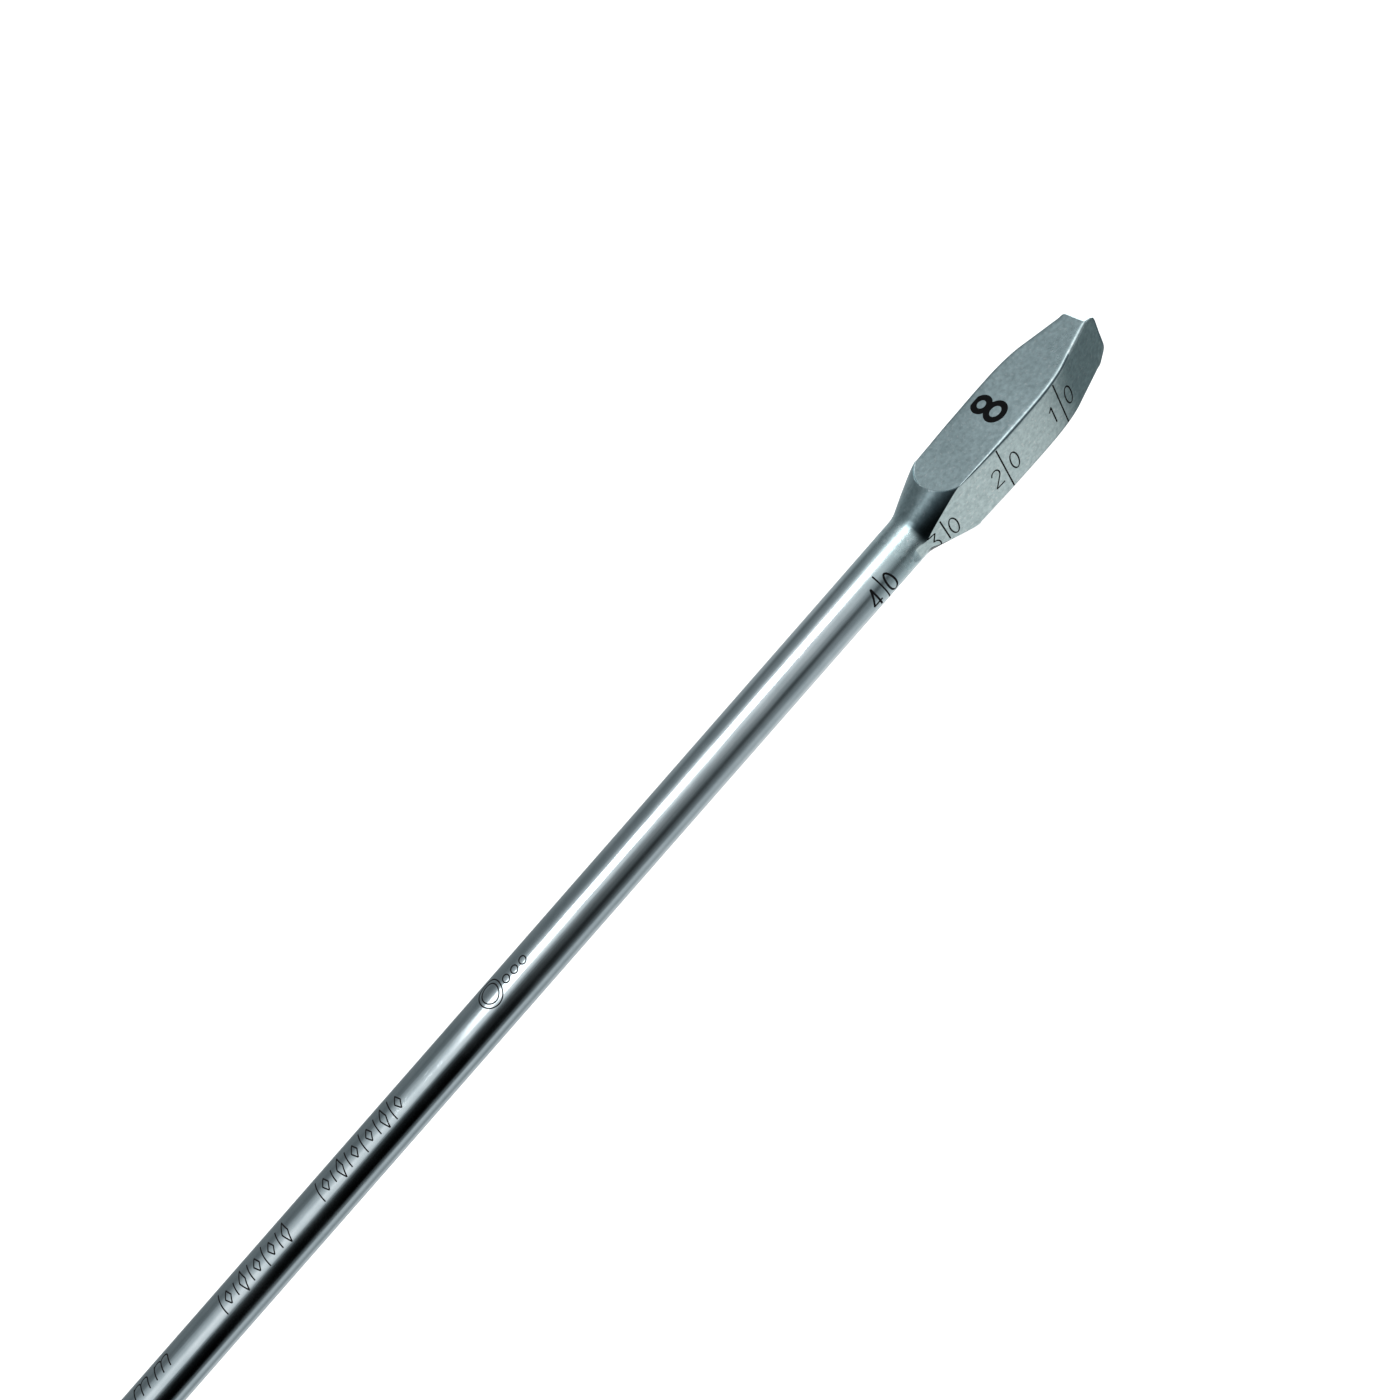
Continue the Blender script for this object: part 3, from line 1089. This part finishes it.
rib_round = add_node(tree, "GeometryNodeCurvePrimitiveCircle",
                     {"Resolution": 10, "Radius": given["Rib Radius"]})
rib_body = add_node(tree, "GeometryNodeCurveToMesh", {
    "Curve": rib_steps.outputs[0], "Profile Curve": rib_round.outputs[0], "Scale": thick,
    "Fill Caps": True})
stations = add_node(tree, "GeometryNodeMeshCircle",
                    {"Vertices": given["Ribs"], "Radius": given["Barrel Radius"]})
stood = add_node(tree, "GeometryNodeTransform",
                 {"Geometry": stations.outputs[0], "Rotation": (0, math.pi / 2, 0)})
placed = add_node(tree, "GeometryNodeInstanceOnPoints",
                  {"Points": stood.outputs[0], "Instance": rib_body.outputs[0]})
start_place = add_node(tree, "ShaderNodeCombineXYZ", {"X": given["Start"]})
moved = add_node(tree, "GeometryNodeTransform",
                 {"Geometry": placed.outputs[0], "Translation": start_place.outputs[0]})
finish_tree(tree, moved.outputs[0], turned_steel)
grow("collar_grip_ribs", tree, {
    "Ribs": GRIP_RIBS, "Start": RIB_RANGE[0] * MM, "Length": (RIB_RANGE[1] - RIB_RANGE[0]) * MM,
    "Barrel Radius": waist * MM, "Rib Radius": RIB_RADIUS * MM}, "collar", "handle_steel")


# Collar spring and its washer: five turns of drawn spring wire inside the sleeve. The wire shortens as the
# collar is pulled back against the washer.
SPRING_RADIUS = 7.4
SPRING_WIRE = 0.45
SPRING_TURNS = 5.0
SPRING_RANGE = (222.25, 234.15)
WASHER = (234.9, 235.7, 6.3, 8.6)

tree, given = new_tree("coil", ("Turns", "NodeSocketFloat", SPRING_TURNS), ("Start", "NodeSocketFloat", 0.2),
                       ("Length", "NodeSocketFloat", 0.01), ("Mean Radius", "NodeSocketFloat", 0.007),
                       ("Wire Radius", "NodeSocketFloat", 0.0004))
helix = add_node(tree, "GeometryNodeCurveSpiral", {
    "Resolution": 64, "Rotations": given["Turns"], "Start Radius": given["Mean Radius"],
    "End Radius": given["Mean Radius"], "Height": given["Length"]})
wire_round = add_node(tree, "GeometryNodeCurvePrimitiveCircle",
                      {"Resolution": 14, "Radius": given["Wire Radius"]})
wire = add_node(tree, "GeometryNodeCurveToMesh", {
    "Curve": helix.outputs[0], "Profile Curve": wire_round.outputs[0], "Fill Caps": True})
start_place = add_node(tree, "ShaderNodeCombineXYZ", {"X": given["Start"]})
laid = add_node(tree, "GeometryNodeTransform", {
    "Geometry": wire.outputs[0], "Rotation": (0, math.pi / 2, 0), "Translation": start_place.outputs[0]})
finish_tree(tree, laid.outputs[0], spring_steel)
spring = grow("collar_spring_coil", tree, {
    "Turns": SPRING_TURNS, "Start": SPRING_RANGE[0] * MM, "Length": (SPRING_RANGE[1] - SPRING_RANGE[0]) * MM,
    "Mean Radius": SPRING_RADIUS * MM, "Wire Radius": SPRING_WIRE * MM},
    "tool", "spring_steel", "collar_spring")
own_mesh(spring)
washer = lathe("spring_seat_washer", [
    (WASHER[0], WASHER[2], 0.1), (WASHER[0], WASHER[3], 0.15), (WASHER[1], WASHER[3], 0.15),
    (WASHER[1], WASHER[2], 0.1)], spring_steel, spokes=72)
settle(washer, "tool", "spring_steel", "spring_washer")


# Lock balls: two ground bearing balls that drop into the groove of the shank and hold it in the socket. The
# bore of the collar keeps them there, and lets them out as its cone passes over them.
for end, side, body in (("top", 1, "top_ball"), ("bottom", -1, "bottom_ball")):
    turns = np.linspace(-math.pi / 2, math.pi / 2, 33)
    arc = [(BALL_RADIUS * math.sin(a), BALL_RADIUS * math.cos(a)) for a in turns]
    arc[0] = (-BALL_RADIUS, 0)
    arc[-1] = (BALL_RADIUS, 0)
    ball = lathe("bearing_ball_" + end, arc, polished_steel, axis="z",
                 centre=(BALL_X, 0, side * BALL_CENTRE), spokes=48)
    settle(ball, body, "hardened_steel", "lock_ball_" + end)


# Hub: an investment-cast stainless tee, tumbled smooth, so that its two barrels meet in a soft fillet. It is
# bored for the stem, the crossbar and the strike cap, and cross-drilled for two pins and a grub screw.
HUB = (246.3, 279.0, 10.5)
CROSSBAR_X = 264.0
CROSS_RADIUS = 12.2
CROSS_HALF = 12.5
STEM_BORE = (257.0, 5.2)
CAP_BORE = (271.0, 4.2)
BAR_BORE = 4.2
GRUB_X = 275.0
HUB_EDGE = 0.9
HUB_FILLET = 1.7
HOLE_EDGE = 0.35
NET_STEP = 0.4
NET_SHIFT = 0.137


def barrel_distance(along, across, start, end, radius):
    """Distance to a barrel with eased rims, negative inside it."""
    out_end = np.abs(along - (start + end) / 2) - (end - start) / 2 + HUB_EDGE
    out_side = across - radius + HUB_EDGE
    outside = np.hypot(np.maximum(out_end, 0), np.maximum(out_side, 0))
    return outside + np.minimum(np.maximum(out_end, out_side), 0) - HUB_EDGE


def soft_minimum(a, b, width):
    """The smaller of two distances, with a fillet where they meet."""
    blend = np.clip(0.5 + 0.5 * (b - a) / width, 0, 1)
    return b + (a - b) * blend - width * blend * (1 - blend)


def hub_distance(p):
    """Distance to the hub with its bores, negative inside the metal."""
    x, y, z = p[..., 0], p[..., 1], p[..., 2]
    boss = barrel_distance(x, np.hypot(y, z), HUB[0], HUB[1], HUB[2])
    cross = barrel_distance(y, np.hypot(x - CROSSBAR_X, z), -CROSS_HALF, CROSS_HALF, CROSS_RADIUS)
    solid = soft_minimum(boss, cross, 2 * HUB_FILLET)
    bores = [np.hypot(x - CROSSBAR_X, z) - BAR_BORE,
             np.maximum(np.hypot(y, z) - STEM_BORE[1], x - STEM_BORE[0]),
             np.maximum(np.hypot(y, z) - CAP_BORE[1], CAP_BORE[0] - x),
             np.hypot(x - BODY_PIN_X, y) - PIN_HOLE, np.hypot(x - CROSSBAR_X, y) - PIN_HOLE,
             np.maximum(np.hypot(x - GRUB_X, y) - PIN_HOLE, -z)]
    for bore in bores:
        solid = -soft_minimum(-solid, bore, HOLE_EDGE)
    return solid


def net_over(distance, low, high, step):
    """A closed quad net over the zero surface of a distance, pulled on to it."""
    axes = [np.arange(a - 2 * step, b + 3 * step, step) + NET_SHIFT * step for a, b in zip(low, high)]
    lattice = np.stack(np.meshgrid(*axes, indexing="ij"), -1)
    inside = distance(lattice) < 0
    corners = [inside[i:i - 1 or None, j:j - 1 or None, k:k - 1 or None]
               for i in (0, 1) for j in (0, 1) for k in (0, 1)]
    count = sum(c.astype(int) for c in corners)
    live = (count > 0) & (count < 8)
    number = np.full(live.shape, -1)
    number[live] = np.arange(live.sum())
    points = lattice[:-1, :-1, :-1][live] + step / 2
    faces = []
    for axis in range(3):
        other = [a for a in range(3) if a != axis]
        near = [slice(None)] * 3
        far = [slice(None)] * 3
        near[axis], far[axis] = slice(0, -1), slice(1, None)
        crossed = np.argwhere(inside[tuple(near)] != inside[tuple(far)])
        loop = []
        for du, dv in ((0, 0), (-1, 0), (-1, -1), (0, -1)):
            cell = crossed.copy()
            cell[:, other[0]] += du
            cell[:, other[1]] += dv
            loop.append(number[tuple(cell.T)])
        faces += [tuple(face) for face in np.stack(loop, 1).tolist()]
    for _ in range(6):
        value = distance(points)
        slope = np.stack([(distance(points + shift) - distance(points - shift)) / 2e-3
                          for shift in np.eye(3) * 1e-3], 1)
        points = points - slope * (value / np.maximum((slope ** 2).sum(1), 0.2))[:, None]
    return [tuple(p) for p in points], faces


cast_steel = steel("tumbled_cast_steel", (0.63, 0.655, 0.67), (0.54, 0.57, 0.585), 0.24, 0.38, (4, 4, 4),
                   4.0, clouds=0.4, speck=3.0, speck_gain=0.15, scratches=0.12)
hub_points, hub_faces = net_over(hub_distance, (HUB[0], -CROSS_HALF, -CROSS_RADIUS),
                                 (HUB[1], CROSS_HALF, CROSS_RADIUS), NET_STEP)
hub = make_piece("tee_hub", hub_points, hub_faces, cast_steel, crease=50)
settle(hub, "tool", "handle_steel", "handle_hub")


# Pins: two hardened dowels with domed ends, pressed through the hub a little below its surface. One holds
# the stem of the socket and the other holds the crossbar.
PIN_RADIUS = 1.5
for name, x, half, node in (("stem_dowel", BODY_PIN_X, 10.0, "body_pin"),
                            ("crossbar_dowel", CROSSBAR_X, 11.8, "crossbar_pin")):
    dowel = lathe(name, [(-half, 0), (-half, PIN_RADIUS - 0.25, 0.2), (-half + 0.4, PIN_RADIUS, 0.3),
                         (half - 0.4, PIN_RADIUS, 0.3), (half, PIN_RADIUS - 0.25, 0.2), (half, 0)],
                  polished_steel, axis="z", centre=(x, 0, 0), spokes=40)
    settle(dowel, "tool", "hardened_steel", node)


# Crossbar: a ground steel rod through the hub that carries the two grips. It is tapped at both ends for the
# end screws, and cross-drilled for its pin.
BAR_RADIUS_IN_GRIP = 4.0
BAR_HALF = 50.5
SCREW_HOLE = 2.1
SCREW_LENGTH = 11.0
crossbar = lathe("crossbar_rod", [
    (-BAR_HALF + SCREW_LENGTH, 0), (-BAR_HALF + SCREW_LENGTH, SCREW_HOLE), (-BAR_HALF, SCREW_HOLE, 0.3),
    (-BAR_HALF, BAR_RADIUS_IN_GRIP, 0.4), (BAR_HALF, BAR_RADIUS_IN_GRIP, 0.4), (BAR_HALF, SCREW_HOLE, 0.3),
    (BAR_HALF - SCREW_LENGTH, SCREW_HOLE), (BAR_HALF - SCREW_LENGTH, 0)], polished_steel, axis="y",
    centre=(CROSSBAR_X, 0, 0), spokes=64)
drill(crossbar, [(PIN_HOLE, (CROSSBAR_X, 0, -6), (CROSSBAR_X, 0, 6))])
settle(crossbar, "tool", "hardened_steel", "crossbar")


# Grips: two sleeves of black silicone, moulded over the bar, with seven finger rings each. A thin flash line
# runs along each side, where the halves of the mould met.
GRIP_RANGE = (12.8, 50.5)
GRIP_ROOT = 12.2
GRIP_BELLY = 13.4
GRIP_TIP = 10.4
GRIP_BORE = 4.2
RING_COUNT = 7
RING_FIRST = 18.5
RING_PITCH = 3.7
RING_DEPTH = 0.55
RING_WIDTH = 0.55
FLASH_HEIGHT = 0.05
FLASH_TURN = 0.012
BELLY_FROM_TIP = 14
BELLY_RISE = 10
BELLY_SWELL = (8, 0.8)


def silicone_rubber(name):
    """Black medical silicone: matt skin, a faint bloom, and dust-fine pits of the mould."""
    material, tree, surface, place = new_material(name, {"Specular IOR Level": 0.4, "Sheen Weight": 0.08})
    bloom = noise(tree, place, 160.0, 3.0)
    relief = add_node(tree, "ShaderNodeBump", {
        "Strength": 1.0, "Distance": 18e-6, "Height": noise(tree, place, 3800.0, 3.0, 0.6)})
    shade = rescale(tree, bloom, 0.35, 0.7)
    feed(tree, surface, {
        "Base Color": tint(tree, shade, (0.016, 0.017, 0.019, 1), (0.034, 0.036, 0.039, 1)),
        "Roughness": rescale(tree, bloom, 0.3, 0.7, 0.48, 0.68), "Normal": relief.outputs[0]})
    return material


def grip_shape(along, radius, turn):
    """Adds the finger rings and the two flash lines to the outer skin of a grip."""
    skin = radius > GRIP_BORE + 3
    rings = np.zeros_like(radius)
    for i in range(RING_COUNT):
        off = (np.abs(along) - RING_FIRST - RING_PITCH * i) / RING_WIDTH
        rings += np.exp(-off ** 2) * RING_DEPTH
    flash = FLASH_HEIGHT * np.exp(-((np.mod(turn, math.pi) - math.pi / 2) / FLASH_TURN) ** 2)
    return np.where(skin, radius - rings + flash, radius)


silicone = silicone_rubber("black_silicone")
belly = GRIP_RANGE[1] - BELLY_FROM_TIP
swell = np.vstack([
    curve_points([(GRIP_RANGE[0], GRIP_ROOT), (belly - BELLY_RISE, GRIP_ROOT), (belly, GRIP_BELLY)], 110),
    curve_points([(belly, GRIP_BELLY), (belly + BELLY_SWELL[0], GRIP_BELLY + BELLY_SWELL[1]),
                  (GRIP_RANGE[1], GRIP_BELLY), (GRIP_RANGE[1], GRIP_TIP)], 70)[1:]])
for end, side in (("left", 1), ("right", -1)):
    skin_line = [(side * y, r) for y, r in swell]
    grip = lathe("silicone_grip_" + end, [
        (side * GRIP_RANGE[0], GRIP_BORE), (side * GRIP_RANGE[0], GRIP_ROOT - 0.5, 0.4), *skin_line[3:],
        (side * GRIP_RANGE[1], GRIP_BORE)], silicone, axis="y", centre=(CROSSBAR_X, 0, 0), spokes=180,
        shape=grip_shape)
    settle(grip, "tool", "silicone", "grip_" + end)


# End caps and end screws: two turned discs that hold the grips on. Each is drawn up by one domed screw with
# a hex socket.
CAP_RANGE = (50.8, 54.4)
CAP_RADIUS = 9.5
CAP_GROOVE = (5.6, 5.2, 4.6, 4.3, 0.35)
SCREW_HEAD = (54.7, 57.1, 3.8)
SCREW_RADIUS = 1.9
HEX_HALF = 1.5
HEX_DEPTH = 1.5


def hexed(half, start, low, high):
    """A lathe shape with a hexagon this far out, in place of a bore between two radii."""
    def radius_at(along, radius, turn):
        sector = np.mod(turn, math.pi / 3) - math.pi / 6
        inside = (np.abs(along) > start) & (radius > low) & (radius < high)
        return np.where(inside, half / np.cos(sector), radius)
    return radius_at


groove_floor = CAP_RANGE[1] - CAP_GROOVE[4]
for end, side in (("left", 1), ("right", -1)):
    cap = lathe("grip_cap_" + end, [
        (side * CAP_RANGE[0], SCREW_RADIUS + 0.2), (side * CAP_RANGE[0], CAP_RADIUS, 0.3),
        (side * (CAP_RANGE[1] - 1.2), CAP_RADIUS, 0.9), (side * CAP_RANGE[1], CAP_RADIUS - 1.6, 0.5),
        (side * CAP_RANGE[1], CAP_GROOVE[0], 0.15), (side * groove_floor, CAP_GROOVE[1], 0.15),
        (side * groove_floor, CAP_GROOVE[2], 0.15), (side * CAP_RANGE[1], CAP_GROOVE[3], 0.15),
        (side * CAP_RANGE[1], SCREW_RADIUS + 0.2, 0.2)], turned_steel, axis="y", centre=(CROSSBAR_X, 0, 0))
    settle(cap, "tool", "handle_steel", "end_cap_" + end)
    floor_at = SCREW_HEAD[1] - HEX_DEPTH
    screw = lathe("grip_screw_" + end, [
        (side * (BAR_HALF - SCREW_LENGTH + 1), 0), (side * (BAR_HALF - SCREW_LENGTH + 1), SCREW_RADIUS, 0.3),
        (side * SCREW_HEAD[0], SCREW_RADIUS), (side * SCREW_HEAD[0], SCREW_HEAD[2], 0.2),
        (side * (SCREW_HEAD[1] - 1.0), SCREW_HEAD[2] - 0.3, 0.6), (side * SCREW_HEAD[1], 2.5, 0.5),
        (side * SCREW_HEAD[1], HEX_HALF + 0.5), (side * (SCREW_HEAD[1] - 0.35), HEX_HALF + 0.1),
        (side * (floor_at + 0.1), HEX_HALF + 0.1), (side * floor_at, 0.6), (side * (floor_at - 0.25), 0)],
        polished_steel, axis="y", centre=(CROSSBAR_X, 0, 0), spokes=72,
        shape=hexed(HEX_HALF, BAR_HALF, HEX_HALF + 0.05, HEX_HALF + 0.15))
    settle(screw, "tool", "hardened_steel", "end_screw_" + end)


# Strike cap: a hardened plug, screwed into the back of the hub, that takes the mallet. Its flat face has the
# shallow bruises of use.
STRIKE_CAP = (279.3, 286.3, 12.5)
STRIKE_CHAMFER = 1.2
BRUISES = 46
BRUISE_REACH = 9.8
BRUISE_SIZE = (0.8, 2.2)
BRUISE_DEPTH = (0.008, 0.035)
dents = np.random.default_rng(8)
dent_places = [(BRUISE_REACH * math.sqrt(dents.uniform(0, 1)), dents.uniform(0, 2 * math.pi),
                dents.uniform(*BRUISE_SIZE), dents.uniform(*BRUISE_DEPTH)) for _ in range(BRUISES)]
face_rings = [(STRIKE_CAP[1], r) for r in np.linspace(STRIKE_CAP[2] - STRIKE_CHAMFER - 0.35, 0.25, 44)]
strike_cap = lathe("strike_plug", [
    (CAP_BORE[0] + 0.5, 0), (CAP_BORE[0] + 0.5, 4.0, 0.4), (STRIKE_CAP[0], 4.0),
    (STRIKE_CAP[0], STRIKE_CAP[2] - STRIKE_CHAMFER, 0.3),
    (STRIKE_CAP[0] + STRIKE_CHAMFER, STRIKE_CAP[2], 0.4),
    (STRIKE_CAP[0] + 3.0, STRIKE_CAP[2], 0.12), (STRIKE_CAP[0] + 3.25, STRIKE_CAP[2] - 0.3, 0.1),
    (STRIKE_CAP[0] + 3.75, STRIKE_CAP[2] - 0.3, 0.1), (STRIKE_CAP[0] + 4.0, STRIKE_CAP[2], 0.12),
    (STRIKE_CAP[1] - STRIKE_CHAMFER, STRIKE_CAP[2], 0.4),
    (STRIKE_CAP[1], STRIKE_CAP[2] - STRIKE_CHAMFER, 0.4), *face_rings, (STRIKE_CAP[1], 0)],
    polished_steel, spokes=120)
spots = spots_of(strike_cap)
sunk = np.zeros(len(spots))
for reach, turn, size, depth in dent_places:
    away = np.hypot(spots[:, 1] - reach * math.cos(turn), spots[:, 2] - reach * math.sin(turn))
    sunk = np.maximum(sunk, depth * np.exp(-(away / size) ** 4))
spots[:, 0] -= sunk * (spots[:, 0] > STRIKE_CAP[1] - 0.5)
strike_cap.data.vertices.foreach_set("co", (spots * MM).ravel())
strike_cap.data.update()
settle(strike_cap, "tool", "hardened_steel", "strike_cap")


# Grub screw: a small hardened screw with a hex socket that locks the strike cap from the side of the hub. It
# sits just under the surface.
GRUB_RANGE = (4.5, 9.9)
GRUB_HEX_HALF = 0.75
grub = lathe("cap_grub", [
    (GRUB_RANGE[0], 0), (GRUB_RANGE[0], PIN_RADIUS - 0.5, 0.1), (GRUB_RANGE[0] + 0.5, PIN_RADIUS),
    (GRUB_RANGE[1] - 0.25, PIN_RADIUS, 0.1), (GRUB_RANGE[1], PIN_RADIUS - 0.25), (GRUB_RANGE[1], 0.9),
    (GRUB_RANGE[1] - 1.2, 0.85), (GRUB_RANGE[1] - 1.5, 0)], polished_steel, axis="z", centre=(GRUB_X, 0, 0),
    spokes=48, shape=hexed(GRUB_HEX_HALF, 8, GRUB_HEX_HALF + 0.05, GRUB_HEX_HALF + 0.2))
settle(grub, "tool", "hardened_steel", "cap_grub_screw")
